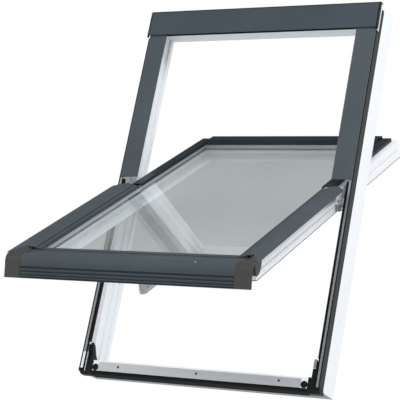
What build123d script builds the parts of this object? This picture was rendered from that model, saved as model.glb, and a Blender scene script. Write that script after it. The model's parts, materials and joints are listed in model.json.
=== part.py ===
from build123d import *
from math import cos, radians, sin
import os

os.makedirs("parts", exist_ok=True)

# A centre-pivot roof window, shown upright and open.
# x runs across the window, z up the slope, and -y points out of the roof.
# A "level" is a depth measured outward from the room face of the outer frame.
# Sash pieces are drawn as if the window were shut and placed by the opening angle.

# Outer frame
frame_width = 780.0
frame_height = 1180.0
frame_depth = 104.0
jamb_width = 17.0
head_height = 52.0
sill_height = 36.0
sill_setback = 6.0
reveal_step = 6.5
low_step_level = 18.0
high_step_gap = 4.0
edge_round = 1.5
foot_rebate = 1.0

# Sash
side_gap = 19.0
sill_gap = 8.0
head_gap = 18.0
sash_front_gap = 7.0
sash_depth = 52.0
rail_width = 79.0
shoulder_width = 41.0
shoulder_height = 25.0
glass_leg = 22.0
groove_height = 17.0
groove_width = 12.0
groove_depth = 3.0
opening_angle = 50.7

# Glazing
pane_thickness = 4.0
pane_gap = 16.0
pane_inset = 3.0
spacer_width = 12.0
bed_thickness = 3.0
bed_width = 18.0
seal_thickness = 1.4
seal_width = 11.5

# Pivot: its axis floats in front of the window, because the hinges are arcs round it
pivot_height = 614.0
pivot_rise = 34.0
guide_inner_radius = 66.0
guide_outer_radius = 97.0
track_inner_radius = 78.0
track_outer_radius = 92.0
guide_thickness = 9.0
guide_floor = 3.0
rail_clearance = 0.3
rail_start_angle = 12.0
rail_end_angle = 64.0
carrier_thickness = 3.0
guide_screw_angles = (-50.0, -18.0, 18.0, 50.0)
carrier_screw_heights = (11.0, 38.0, 90.0)
hinge_screw_radius = 1.9
hinge_head_radius = 3.6
hinge_head_height = 1.4

# Cladding
seat = 0.1
sheet = 1.8
lip_thickness = 3.5
lip_width = 7.1
channel_depth = 30.0
channel_sheet = 1.5
hood_height = 81.0
hood_rise = 9.5
cover_width = 61.0
cover_edge = 4.5
cover_split = 3.0
strip_inner_gap = 24.0

# Front cover across the bottom of the sash
end_cap_gap = 12.5
end_cap_width = 48.5
end_cap_proud = 1.2
end_cap_cut = 31.0
cheek_thickness = 3.0
cover_wall = 2.0
rib_radius = 1.4

# Sill fittings
sill_screw_inset = 67.0
sill_screw_height = 20.0
sill_screw_radius = 1.9
sill_head_radius = 3.8
disc_radius = 10.0
disc_thickness = 2.5
disc_gap = 33.5

# Lock and handle
lock_x = -6.0
lock_half = 44.0
latch_half = 6.0
latch_travel = 12.0
latch_length = latch_travel + 6.0
spindle_height = 26.0
spindle_side = 7.0
boss_radius = 7.0
running_gap = 0.06
handle_reach = 63.0
handle_length = 108.0

# Fixing holes for the mounting brackets
bracket_hole_radius = 2.25
bracket_hole_depth = 14.0
bracket_level = 36.0
bracket_end = 221.0
batten_level = 10.0
batten_end = 97.0

# Sizes that follow from the ones above
half_width = frame_width / 2
reveal_x = half_width - jamb_width
head_soffit = frame_height - head_height
sill_front = frame_depth - sill_setback
foot_level = sill_front - 28.0
disc_x = reveal_x - disc_gap
sill_strip_half = disc_x - disc_radius - 0.6
sill_screw_spacing = sill_strip_half - sill_screw_inset
end_cap_half = half_width - end_cap_gap
front_cover_half = end_cap_half - end_cap_width
lip_level = frame_depth + lip_thickness
cover_seat = lip_level + seat
channel_x = half_width - channel_sheet
channel_level = lip_level - channel_depth
lip_outer_x = channel_x - channel_sheet - 0.7
lip_inner_x = lip_outer_x - lip_width
sash_half = reveal_x - side_gap
sash_bottom = sill_height + sill_gap
sash_top = head_soffit - head_gap
sash_inner_level = frame_depth - sash_front_gap - sash_depth
high_step_level = sash_inner_level - high_step_gap
pivot_level = frame_depth + pivot_rise
sash_outer = sash_inner_level + sash_depth
shoulder_level = sash_inner_level + shoulder_height
groove_level = sash_inner_level + groove_height
pocket_half = sash_half - glass_leg
pocket_bottom = sash_bottom + glass_leg
pocket_top = sash_top - glass_leg
pane_half = pocket_half - pane_inset
pane_bottom = pocket_bottom + pane_inset
pane_top = pocket_top - pane_inset
inner_pane_level = shoulder_level + bed_thickness
spacer_level = inner_pane_level + pane_thickness
outer_pane_level = spacer_level + pane_gap
glass_level = outer_pane_level + pane_thickness
strip_base = sash_outer + seat
seal_top = glass_level + seal_thickness + seat
pivot_y = frame_depth / 2 - pivot_level
guide_x = reveal_x - guide_thickness
guide_screw_radius = (guide_inner_radius + track_inner_radius) / 2
cover_outer_x = half_width - cover_edge
cover_inner_x = cover_outer_x - cover_width
glass_view_half = cover_inner_x - strip_inner_gap
cover_bottom = pivot_height + cover_split
cover_top = frame_height - 4
hood_bottom = frame_height - hood_height
hood_level = lip_level + hood_rise
spindle_z = sash_bottom + spindle_height
lock_level = sash_inner_level + 5
lock_depth = 14.0
bolt_level = lock_level + 3

sash_pose = (
    Pos(0, pivot_y, pivot_height)
    * Rot(-opening_angle, 0, 0)
    * Pos(0, -pivot_y, -pivot_height)
)


def y_at(level):
    """Row y of a depth level."""
    return frame_depth / 2 - level


def facing(level, on_sash=False):
    """Plane at a depth level, seen from outside: sketches use (x, z)."""
    plane = Plane.XZ.offset(level - frame_depth / 2)
    return Plane(sash_pose * plane.location) if on_sash else plane


def across(x, on_sash=False):
    """Plane at one x: sketches use (y, z) and extrude towards +x."""
    plane = Plane.YZ.offset(x)
    return Plane(sash_pose * plane.location) if on_sash else plane


def upright(z, on_sash=False):
    """Plane at one height: sketches use (x, y) and extrude upwards."""
    plane = Plane.XY.offset(z)
    return Plane(sash_pose * plane.location) if on_sash else plane


def side_profile(pairs, x, on_sash=False):
    """Closed outline of (level, z) pairs in the plane at one x."""
    with BuildSketch(across(x, on_sash)) as face:
        with BuildLine():
            Polyline(*[(y_at(level), z) for level, z in pairs], close=True)
        make_face()
    return face.sketch


def rail_profile(pairs, z, on_sash=False):
    """Closed outline of (x, level) pairs in the plane at one height."""
    with BuildSketch(upright(z, on_sash)) as face:
        with BuildLine():
            Polyline(*[(x, y_at(level)) for x, level in pairs], close=True)
        make_face()
    return face.sketch


def front_profile(pairs, level, on_sash=False):
    """Closed outline of (x, z) pairs at a depth level."""
    with BuildSketch(facing(level, on_sash)) as face:
        with BuildLine():
            Polyline(*pairs, close=True)
        make_face()
    return face.sketch


def panel(level, left, right, bottom, top, on_sash=False):
    """Upright rectangle at a depth level."""
    with BuildSketch(facing(level, on_sash)) as face:
        with Locations(((left + right) / 2, (bottom + top) / 2)):
            Rectangle(right - left, top - bottom)
    return face.sketch


def ring(level, half, bottom, top, width, on_sash=False):
    """Rectangular ring of even width at a depth level."""
    with BuildSketch(facing(level, on_sash)) as face:
        with Locations((0, (bottom + top) / 2)):
            Rectangle(2 * half, top - bottom)
            Rectangle(2 * (half - width), top - bottom - 2 * width, mode=Mode.SUBTRACT)
    return face.sketch


def frame_ring(level, inset):
    """Section of the outer frame whose side reveals stand in by an inset."""
    with BuildSketch(facing(level)) as face:
        with Locations((0, frame_height / 2)):
            Rectangle(frame_width, frame_height)
        with Locations((0, (sill_height + head_soffit) / 2)):
            Rectangle(
                2 * (reveal_x - inset),
                head_soffit - sill_height,
                mode=Mode.SUBTRACT,
            )
    return face.sketch


def arc_band(x, inner_radius, outer_radius, start, end, on_sash=False):
    """Part of a ring round the pivot; angles rise from the inward direction."""
    centre = (pivot_y, pivot_height)
    with BuildSketch(across(x, on_sash)) as face:
        with BuildLine():
            outer = CenterArc(centre, outer_radius, start, end - start)
            inner = CenterArc(centre, inner_radius, start, end - start)
            Line(outer @ 0, inner @ 0)
            Line(outer @ 1, inner @ 1)
        make_face()
    return face.sketch


def round_pivot(radius, angle):
    """Sketch position at a radius and angle round the pivot."""
    turn = radians(angle)
    return (pivot_y + radius * cos(turn), pivot_height + radius * sin(turn))


def discs(plane, points, radius):
    """Circles of one radius at points of a plane."""
    with BuildSketch(plane) as face:
        with Locations(*points):
            Circle(radius)
    return face.sketch


def shifted(points, distance):
    """An open outline moved sideways by a distance, outward when positive."""
    moved = []
    last = len(points) - 1
    for index, point in enumerate(points):
        before = Vector(points[max(index - 1, 0)])
        after = Vector(points[min(index + 1, last)])
        normal = (after - before).rotate(Axis.Z, -90).normalized()
        moved.append(Vector(point) + normal * distance)
    return moved


def sheet_face(points, outside, inside, x):
    """Bent sheet along an outline of the sash: straight, curved, straight."""
    outer = shifted(points, outside)
    inner = shifted(points, -inside)
    with BuildSketch(across(x, True)) as face:
        with BuildLine():
            Line(outer[0], outer[1])
            Spline(*outer[1:-1])
            Line(outer[-2], outer[-1])
            Line(outer[-1], inner[-1])
            Line(inner[-1], inner[-2])
            Spline(*inner[-2:0:-1])
            Line(inner[1], inner[0])
            Line(inner[0], outer[0])
        make_face()
    return face.sketch


# Outer frame: three rings that step in towards the room
bracket_points = [
    (y_at(bracket_level), bracket_end),
    (y_at(bracket_level), frame_height - bracket_end),
    (y_at(batten_level), batten_end),
    (y_at(batten_level), frame_height - batten_end),
]
guide_screw_points = [round_pivot(guide_screw_radius, turn) for turn in guide_screw_angles]
sill_screw_points = [
    (-sill_screw_spacing, sill_screw_height),
    (0, sill_screw_height),
    (sill_screw_spacing, sill_screw_height),
]
channel_foot = 8.0
channel_head = frame_height - 14
ear_bottom = hood_bottom - 7
slot_half = latch_half + 3
strike_half = 30.0
strike_front = lock_level + 20
strike_screw_points = [(lock_x - 22, y_at(bolt_level + 4)), (lock_x + 22, y_at(bolt_level + 4))]
strike_sheet = 1.5
pilot_depth = 8.0

with BuildPart() as outer_frame:
    extrude(frame_ring(0, 2 * reveal_step), amount=low_step_level)
    extrude(frame_ring(low_step_level, reveal_step), amount=high_step_level - low_step_level)
    extrude(frame_ring(high_step_level, 0), amount=frame_depth - high_step_level)
    extrude(
        panel(sill_front, -reveal_x, reveal_x, 0, sill_height),
        amount=sill_setback,
        mode=Mode.SUBTRACT,
    )
    extrude(
        panel(foot_level - 2, -half_width, half_width, 0, foot_rebate),
        amount=frame_depth - foot_level + 2,
        mode=Mode.SUBTRACT,
    )
    chamfer(outer_frame.faces().sort_by(Axis.Y)[-1].edges(), length=edge_round)
    for x in (channel_x, -half_width):
        extrude(
            side_profile(
                [
                    (channel_level, channel_foot),
                    (frame_depth, channel_foot),
                    (frame_depth, channel_head),
                    (channel_level, channel_head),
                ],
                x,
            ),
            amount=channel_sheet,
            mode=Mode.SUBTRACT,
        )
    for x in (half_width - bracket_hole_depth, -half_width):
        extrude(
            discs(across(x), bracket_points, bracket_hole_radius),
            amount=bracket_hole_depth,
            mode=Mode.SUBTRACT,
        )
    for x in (reveal_x, -reveal_x - pilot_depth):
        extrude(
            discs(across(x), guide_screw_points, hinge_screw_radius),
            amount=pilot_depth,
            mode=Mode.SUBTRACT,
        )
    extrude(
        discs(facing(sill_front), sill_screw_points, sill_screw_radius),
        amount=-2 * pilot_depth,
        mode=Mode.SUBTRACT,
    )
    extrude(
        panel(lock_level, lock_x - slot_half, lock_x + slot_half, sill_height / 2, sill_height),
        amount=lock_depth,
        mode=Mode.SUBTRACT,
    )
    extrude(
        discs(upright(sill_height), strike_screw_points, hinge_screw_radius),
        amount=-pilot_depth,
        mode=Mode.SUBTRACT,
    )
outer_frame.part.label = "outer_frame"
export_step(outer_frame.part, "parts/outer_frame.step")

# Dark edge channels on the outer side faces; they narrow under the hood's ears
with BuildPart() as edge_channel_right:
    with BuildSketch(across(channel_x)):
        with BuildLine():
            Polyline(
                (y_at(channel_level), channel_foot),
                (y_at(lip_level), channel_foot),
                (y_at(lip_level), ear_bottom - 1),
                (y_at(lip_level - channel_depth / 2), ear_bottom - 1),
                (y_at(lip_level - channel_depth / 2), channel_head),
                (y_at(channel_level), channel_head),
                close=True,
            )
        make_face()
        fillet(vertices().sort_by(Axis.Y)[-2:], radius=channel_depth / 4 - 1)
    extrude(amount=channel_sheet)
    extrude(
        side_profile(
            [
                (lip_level - channel_sheet, channel_foot),
                (lip_level, channel_foot),
                (lip_level, ear_bottom - 1),
                (lip_level - channel_sheet, ear_bottom - 1),
            ],
            channel_x - channel_sheet - 0.5,
        ),
        amount=channel_sheet + 0.5,
    )
edge_channel_right.part.label = "edge_channel_right"
export_step(edge_channel_right.part, "parts/edge_channel_right.step")

with BuildPart() as edge_channel_left:
    mirror(edge_channel_right.part, about=Plane.YZ)
edge_channel_left.part.label = "edge_channel_left"
export_step(edge_channel_left.part, "parts/edge_channel_left.step")

# Pale lip strips on the jamb fronts, with an end plug at their feet
lip_foot = sash_bottom + 14
plug_length = lip_foot - channel_foot
lip_outline = [
    (lip_inner_x, frame_depth),
    (lip_outer_x, frame_depth),
    (lip_outer_x, lip_level - 0.8),
    (lip_outer_x - 0.8, lip_level),
    (lip_inner_x + 0.8, lip_level),
    (lip_inner_x, lip_level - 0.8),
]
with BuildPart() as lip_strip_right:
    extrude(rail_profile(lip_outline, lip_foot), amount=cover_top - lip_foot)
lip_strip_right.part.label = "lip_strip_right"
export_step(lip_strip_right.part, "parts/lip_strip_right.step")

with BuildPart() as lip_strip_left:
    mirror(lip_strip_right.part, about=Plane.YZ)
lip_strip_left.part.label = "lip_strip_left"
export_step(lip_strip_left.part, "parts/lip_strip_left.step")

with BuildPart() as lip_plug_right:
    extrude(rail_profile(lip_outline, lip_foot - plug_length), amount=plug_length - seat)
    chamfer(lip_plug_right.edges().group_by(Axis.Z)[0], length=0.6)
lip_plug_right.part.label = "lip_plug_right"
export_step(lip_plug_right.part, "parts/lip_plug_right.step")

with BuildPart() as lip_plug_left:
    mirror(lip_plug_right.part, about=Plane.YZ)
lip_plug_left.part.label = "lip_plug_left"
export_step(lip_plug_left.part, "parts/lip_plug_left.step")

# Black gaskets beside the lips, along the lower half only
gasket_foot = lip_foot + 32
gasket_wall = 1.4
gasket_leg = 7.0
with BuildPart() as frame_gasket_right:
    extrude(
        rail_profile(
            [
                (reveal_x, frame_depth),
                (lip_inner_x - 0.2, frame_depth),
                (lip_inner_x - 0.2, lip_level - 0.8),
                (lip_inner_x - 1.6, lip_level + 0.3),
                (reveal_x + 0.8, lip_level + 0.3),
                (reveal_x - gasket_wall, lip_level - 1.2),
                (reveal_x - gasket_wall, frame_depth - gasket_leg),
                (reveal_x, frame_depth - gasket_leg),
            ],
            gasket_foot,
        ),
        amount=pivot_height - 2 - gasket_foot,
    )
frame_gasket_right.part.label = "frame_gasket_right"
export_step(frame_gasket_right.part, "parts/frame_gasket_right.step")

with BuildPart() as frame_gasket_left:
    mirror(frame_gasket_right.part, about=Plane.YZ)
frame_gasket_left.part.label = "frame_gasket_left"
export_step(frame_gasket_left.part, "parts/frame_gasket_left.step")

# Pale strips on the lower reveals, between the corner forks and the hinges
reveal_strip_top = pivot_height - guide_outer_radius - 12
with BuildPart() as reveal_strip_right:
    extrude(
        rail_profile(
            [
                (reveal_x - 1.2, channel_level - 1.5),
                (reveal_x, channel_level - 1.5),
                (reveal_x, frame_depth - gasket_leg - 0.5),
                (reveal_x - 1.2, frame_depth - gasket_leg - 0.5),
            ],
            gasket_foot + 2,
        ),
        amount=reveal_strip_top - gasket_foot - 2,
    )
reveal_strip_right.part.label = "reveal_strip_right"
export_step(reveal_strip_right.part, "parts/reveal_strip_right.step")

with BuildPart() as reveal_strip_left:
    mirror(reveal_strip_right.part, about=Plane.YZ)
reveal_strip_left.part.label = "reveal_strip_left"
export_step(reveal_strip_left.part, "parts/reveal_strip_left.step")

# Top hood: bent sheet with a bevel, closed by an ear at each end
hood_half = half_width + 1.5
bevel_depth = 4.0
bevel_height = 5.3
hood_lid_top = frame_height + sheet
with BuildPart() as top_hood:
    extrude(
        side_profile(
            [
                (hood_level, hood_bottom),
                (hood_level, hood_lid_top - bevel_height),
                (hood_level - bevel_depth, hood_lid_top),
                (frame_depth - 8, hood_lid_top),
                (frame_depth - 8, frame_height + seat),
                (hood_level - bevel_depth - 0.9, frame_height + seat),
                (hood_level - sheet, hood_lid_top - bevel_height - 0.7),
                (hood_level - sheet, hood_bottom + sheet),
                (hood_level - 2 * sheet, hood_bottom + sheet),
                (hood_level - 2 * sheet, hood_bottom),
            ],
            -hood_half,
        ),
        amount=2 * hood_half,
    )
    for x in (half_width + seat, -hood_half):
        extrude(
            side_profile(
                [
                    (hood_level, hood_bottom),
                    (hood_level, hood_lid_top - bevel_height),
                    (hood_level - bevel_depth, hood_lid_top),
                    (frame_depth + 2, hood_lid_top),
                    (frame_depth + 2, hood_bottom),
                    (lip_level + 1, ear_bottom),
                    (hood_level - 1, ear_bottom),
                ],
                x,
            ),
            amount=hood_half - half_width - seat,
        )
top_hood.part.label = "top_hood"
export_step(top_hood.part, "parts/top_hood.step")

# Upper side covers: folded sheet on the lip strips, over the sash's edge
with BuildPart() as upper_cover_right:
    extrude(
        rail_profile(
            [
                (cover_outer_x, cover_seat),
                (cover_outer_x, cover_seat + sheet),
                (cover_outer_x - 2.5, cover_seat + sheet + 1),
                (cover_outer_x - 19.5, cover_seat + 2.4 + sheet),
                (cover_inner_x + 6.5, cover_seat + 2.4 + sheet),
                (cover_inner_x + 5.5, cover_seat + 2.9 + sheet),
                (cover_inner_x + 1, cover_seat + 2.9 + sheet),
                (cover_inner_x, cover_seat + 1.9 + sheet),
                (cover_inner_x, cover_seat + 2.4),
                (cover_outer_x - 20, cover_seat + 2.4),
                (cover_outer_x - 3, cover_seat + 1.2),
                (cover_outer_x - 3, cover_seat),
            ],
            cover_bottom,
        ),
        amount=cover_top - cover_bottom,
    )
upper_cover_right.part.label = "upper_cover_right"
export_step(upper_cover_right.part, "parts/upper_cover_right.step")

with BuildPart() as upper_cover_left:
    mirror(upper_cover_right.part, about=Plane.YZ)
upper_cover_left.part.label = "upper_cover_left"
export_step(upper_cover_left.part, "parts/upper_cover_left.step")

# Black seals under the inner edges of the upper side covers
with BuildPart() as cover_seal_right:
    extrude(
        rail_profile(
            [
                (cover_inner_x + 0.6, cover_seat + 2.4),
                (cover_inner_x + 0.6, cover_seat + 0.6),
                (cover_inner_x + 2, cover_seat + 0.3),
                (cover_inner_x + 6, cover_seat + 0.3),
                (cover_inner_x + 6, cover_seat + 2.4),
            ],
            cover_bottom + 3,
        ),
        amount=hood_bottom - cover_bottom - 3,
    )
cover_seal_right.part.label = "cover_seal_right"
export_step(cover_seal_right.part, "parts/cover_seal_right.step")

with BuildPart() as cover_seal_left:
    mirror(cover_seal_right.part, about=Plane.YZ)
cover_seal_left.part.label = "cover_seal_left"
export_step(cover_seal_left.part, "parts/cover_seal_left.step")

# Brushed strip on the sill's front, with countersunk screws
strip_bottom = sill_screw_height - 15.5
strip_top = sill_screw_height + 11
strip_sheet = 1.5
with BuildPart() as sill_strip:
    extrude(
        panel(sill_front, -sill_strip_half, sill_strip_half, strip_bottom, strip_top),
        amount=strip_sheet,
    )
    chamfer(
        sill_strip.faces().sort_by(Axis.Y)[0].edges().filter_by(Axis.X),
        length=strip_sheet / 3,
    )
    extrude(
        discs(facing(sill_front), sill_screw_points, sill_head_radius + seat),
        amount=strip_sheet,
        mode=Mode.SUBTRACT,
    )
sill_strip.part.label = "sill_strip"
export_step(sill_strip.part, "parts/sill_strip.step")

with BuildPart() as sill_screws:
    extrude(discs(facing(sill_front), sill_screw_points, sill_head_radius), amount=strip_sheet - 0.4)
    extrude(
        discs(facing(sill_front), sill_screw_points, sill_screw_radius),
        amount=-2 * pilot_depth,
    )
sill_screws.part.label = "sill_screws"
export_step(sill_screws.part, "parts/sill_screws.step")

# Black rubber lip under the front of the sill
lip_half = disc_x + disc_radius
with BuildPart() as sill_lip:
    extrude(
        side_profile(
            [
                (sill_front, strip_bottom - 0.2),
                (sill_front + 1.3, strip_bottom - 0.2),
                (sill_front + 1.3, -0.5),
                (sill_front - 4, -4.5),
                (foot_level + 3, -9.5),
                (foot_level, -9.5),
                (foot_level, -8),
                (foot_level + 14, -4.5),
                (foot_level + 14, foot_rebate),
                (sill_front, foot_rebate),
            ],
            -lip_half,
        ),
        amount=2 * lip_half,
    )
sill_lip.part.label = "sill_lip"
export_step(sill_lip.part, "parts/sill_lip.step")

# Plastic forks at the bottom corners: foot, block before the sill, two prongs
fork_x = reveal_x - 4
fork_front = sill_front + 1.8
with BuildPart() as corner_fork_right:
    extrude(
        side_profile(
            [
                (sill_front, foot_rebate),
                (fork_front, 3),
                (fork_front, sill_height + 22),
                (frame_depth, sill_height + 26),
                (frame_depth, sill_height + 46),
                (sill_front - 4, sill_height + 46),
                (sill_front - 6, sill_height + 26),
                (sill_front - 15, sill_height + 24),
                (sill_front - 17, sill_height + 51),
                (sill_front - 21, sill_height + 51),
                (sill_front - 38, sill_height + 22),
                (sill_front - 50, sill_height + 10),
                (sill_front - 52, sill_height),
                (sill_front, sill_height),
            ],
            fork_x,
        ),
        amount=reveal_x - fork_x,
    )
    extrude(
        side_profile(
            [
                (sill_front, foot_rebate),
                (fork_front, 3),
                (fork_front, sill_height),
                (sill_front, sill_height),
            ],
            lip_half + 0.5,
        ),
        amount=fork_x - lip_half - 0.5,
    )
    extrude(
        side_profile(
            [
                (foot_level, foot_rebate),
                (foot_level, -8),
                (sill_front - 8, -8),
                (fork_front, 0),
                (fork_front, 3),
                (sill_front, 3),
                (sill_front, foot_rebate),
            ],
            lip_half + 0.5,
        ),
        amount=reveal_x - lip_half - 0.5,
    )
    extrude(
        side_profile(
            [
                (foot_level, foot_rebate),
                (foot_level, -8),
                (sill_front - 6, -8),
                (frame_depth, 0),
                (frame_depth, foot_rebate),
            ],
            reveal_x,
        ),
        amount=jamb_width,
    )
    extrude(
        side_profile(
            [
                (sill_front, -2),
                (frame_depth, -2),
                (lip_level, 1),
                (lip_level, channel_foot - 0.2),
                (frame_depth, channel_foot - 0.2),
                (frame_depth, foot_rebate),
                (sill_front, foot_rebate),
            ],
            lip_inner_x,
        ),
        amount=half_width - lip_inner_x,
    )
corner_fork_right.part.label = "corner_fork_right"
export_step(corner_fork_right.part, "parts/corner_fork_right.step")

with BuildPart() as corner_fork_left:
    mirror(corner_fork_right.part, about=Plane.YZ)
corner_fork_left.part.label = "corner_fork_left"
export_step(corner_fork_left.part, "parts/corner_fork_left.step")

# Round buffer discs at the ends of the sill strip
with BuildPart() as corner_disc_right:
    extrude(discs(facing(sill_front), [(disc_x, disc_radius + 5)], disc_radius), amount=disc_thickness)
    chamfer(corner_disc_right.faces().sort_by(Axis.Y)[0].edges(), length=disc_thickness / 3)
    extrude(
        discs(facing(sill_front + disc_thickness / 2), [(disc_x, disc_radius + 5)], disc_radius / 3),
        amount=2,
        mode=Mode.SUBTRACT,
    )
corner_disc_right.part.label = "corner_disc_right"
export_step(corner_disc_right.part, "parts/corner_disc_right.step")

with BuildPart() as corner_disc_left:
    mirror(corner_disc_right.part, about=Plane.YZ)
corner_disc_left.part.label = "corner_disc_left"
export_step(corner_disc_left.part, "parts/corner_disc_left.step")

# Seal under the head, above the shut sash
with BuildPart() as head_seal:
    extrude(
        side_profile(
            [
                (high_step_level + 19, head_soffit),
                (high_step_level + 20, head_soffit - 8),
                (high_step_level + 26, head_soffit - 8),
                (high_step_level + 27, head_soffit),
            ],
            -reveal_x + seat,
        ),
        amount=2 * (reveal_x - seat),
    )
head_seal.part.label = "head_seal"
export_step(head_seal.part, "parts/head_seal.step")

# Strike plate on the sill, slotted for the latch
with BuildPart() as strike_plate:
    with BuildSketch(upright(sill_height)):
        with Locations((lock_x, y_at((sash_inner_level + strike_front) / 2))):
            RectangleRounded(2 * strike_half, strike_front - sash_inner_level, 3)
        with Locations((lock_x, y_at(lock_level + lock_depth / 2))):
            Rectangle(2 * slot_half, lock_depth, mode=Mode.SUBTRACT)
        with Locations(*strike_screw_points):
            Circle(hinge_screw_radius + seat, mode=Mode.SUBTRACT)
    extrude(amount=strike_sheet)
strike_plate.part.label = "strike_plate"
export_step(strike_plate.part, "parts/strike_plate.step")

with BuildPart() as strike_screws:
    extrude(
        discs(upright(sill_height + strike_sheet), strike_screw_points, hinge_head_radius),
        amount=1,
    )
    extrude(
        discs(upright(sill_height + strike_sheet), strike_screw_points, hinge_screw_radius),
        amount=-pilot_depth - strike_sheet,
    )
strike_screws.part.label = "strike_screws"
export_step(strike_screws.part, "parts/strike_screws.step")

# Hinge guides: a curved track round the pivot axis, screwed to each jamb
guide_front = frame_depth - gasket_leg - 0.5
head_recess = hinge_head_height + 0.4
with BuildPart() as hinge_guide_right:
    with BuildSketch(across(guide_x)):
        with Locations((pivot_y, pivot_height)):
            Circle(guide_outer_radius)
            Circle(guide_inner_radius, mode=Mode.SUBTRACT)
        with Locations((y_at(guide_front) - guide_outer_radius, pivot_height)):
            Rectangle(2 * guide_outer_radius, 3 * guide_outer_radius, mode=Mode.SUBTRACT)
    extrude(amount=guide_thickness)
    extrude(
        arc_band(guide_x, track_inner_radius, track_outer_radius, -85, 85),
        amount=guide_thickness - guide_floor,
        mode=Mode.SUBTRACT,
    )
    extrude(
        discs(across(guide_x), guide_screw_points, hinge_screw_radius + seat),
        amount=guide_thickness,
        mode=Mode.SUBTRACT,
    )
    extrude(
        discs(across(guide_x), guide_screw_points, hinge_head_radius + seat),
        amount=head_recess,
        mode=Mode.SUBTRACT,
    )
hinge_guide_right.part.label = "hinge_guide_right"
export_step(hinge_guide_right.part, "parts/hinge_guide_right.step")

with BuildPart() as hinge_guide_left:
    mirror(hinge_guide_right.part, about=Plane.YZ)
hinge_guide_left.part.label = "hinge_guide_left"
export_step(hinge_guide_left.part, "parts/hinge_guide_left.step")

with BuildPart() as guide_screws_right:
    extrude(
        discs(across(guide_x + head_recess), guide_screw_points, hinge_head_radius),
        amount=-hinge_head_height,
    )
    extrude(
        discs(across(guide_x + head_recess), guide_screw_points, hinge_screw_radius),
        amount=guide_thickness - head_recess + pilot_depth,
    )
guide_screws_right.part.label = "guide_screws_right"
export_step(guide_screws_right.part, "parts/guide_screws_right.step")

with BuildPart() as guide_screws_left:
    mirror(guide_screws_right.part, about=Plane.YZ)
guide_screws_left.part.label = "guide_screws_left"
export_step(guide_screws_left.part, "parts/guide_screws_left.step")

# Sash: a welded ring with a glass pocket, sloped inner sides and an outer groove
carrier_screw_points = [
    (y_at(sash_outer - 21), pivot_height + height) for height in carrier_screw_heights
]
sash_pilot = 14.0
lock_top = sash_bottom + 2 * latch_length + 8
with BuildPart() as sash_frame:
    extrude(
        panel(sash_inner_level, -sash_half, sash_half, sash_bottom, sash_top, True),
        amount=sash_depth,
    )
    extrude(
        panel(shoulder_level, -pocket_half, pocket_half, pocket_bottom, pocket_top, True),
        amount=sash_depth - shoulder_height,
        mode=Mode.SUBTRACT,
    )
    loft(
        [
            panel(
                sash_inner_level,
                rail_width - sash_half,
                sash_half - rail_width,
                sash_bottom + rail_width,
                sash_top - rail_width,
                True,
            ),
            panel(
                shoulder_level,
                shoulder_width - sash_half,
                sash_half - shoulder_width,
                sash_bottom + shoulder_width,
                sash_top - shoulder_width,
                True,
            ),
        ],
        ruled=True,
        mode=Mode.SUBTRACT,
    )
    extrude(
        ring(groove_level, sash_half, sash_bottom, sash_top, groove_depth, True),
        amount=groove_width,
        mode=Mode.SUBTRACT,
    )
    extrude(
        panel(lock_level, lock_x - lock_half, lock_x + lock_half, sash_bottom, lock_top, True),
        amount=lock_depth,
        mode=Mode.SUBTRACT,
    )
    extrude(
        discs(facing(sash_inner_level, True), [(lock_x, spindle_z)], boss_radius + 1),
        amount=lock_level - sash_inner_level,
        mode=Mode.SUBTRACT,
    )
    for x in (sash_half - sash_pilot, -sash_half):
        extrude(
            discs(across(x, True), carrier_screw_points, hinge_screw_radius),
            amount=sash_pilot,
            mode=Mode.SUBTRACT,
        )
sash_frame.part.label = "sash_frame"
export_step(sash_frame.part, "parts/sash_frame.step")

# Glazing
with BuildPart() as inner_pane:
    extrude(
        panel(inner_pane_level, -pane_half, pane_half, pane_bottom, pane_top, True),
        amount=pane_thickness,
    )
inner_pane.part.label = "inner_pane"
export_step(inner_pane.part, "parts/inner_pane.step")

with BuildPart() as outer_pane:
    extrude(
        panel(outer_pane_level, -pane_half, pane_half, pane_bottom, pane_top, True),
        amount=pane_thickness,
    )
outer_pane.part.label = "outer_pane"
export_step(outer_pane.part, "parts/outer_pane.step")

with BuildPart() as pane_spacer:
    extrude(
        ring(spacer_level, pane_half, pane_bottom, pane_top, spacer_width, True),
        amount=pane_gap,
    )
pane_spacer.part.label = "pane_spacer"
export_step(pane_spacer.part, "parts/pane_spacer.step")

with BuildPart() as glazing_bed:
    extrude(
        ring(shoulder_level, pane_half, pane_bottom, pane_top, bed_width, True),
        amount=bed_thickness,
    )
glazing_bed.part.label = "glazing_bed"
export_step(glazing_bed.part, "parts/glazing_bed.step")

with BuildPart() as glazing_seal:
    extrude(
        ring(
            glass_level,
            pocket_half - 0.5,
            pocket_bottom + 0.5,
            pocket_top - 0.5,
            seal_width,
            True,
        ),
        amount=seal_thickness,
    )
glazing_seal.part.label = "glazing_seal"
export_step(glazing_seal.part, "parts/glazing_seal.step")

# Thin dark seals round the sash's room-side edge and under its bottom edge
with BuildPart() as sash_seal:
    extrude(
        ring(sash_inner_level - 2, sash_half, sash_bottom, sash_top, 8, True),
        amount=2,
    )
sash_seal.part.label = "sash_seal"
export_step(sash_seal.part, "parts/sash_seal.step")

with BuildPart() as bottom_seal:
    extrude(
        side_profile(
            [
                (sash_outer - 13, sash_bottom),
                (sash_outer - 12, sash_bottom - 3.5),
                (sash_outer - 6, sash_bottom - 3.5),
                (sash_outer - 5, sash_bottom),
            ],
            4 - sash_half,
            True,
        ),
        amount=2 * (sash_half - 4),
    )
bottom_seal.part.label = "bottom_seal"
export_step(bottom_seal.part, "parts/bottom_seal.step")

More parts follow.
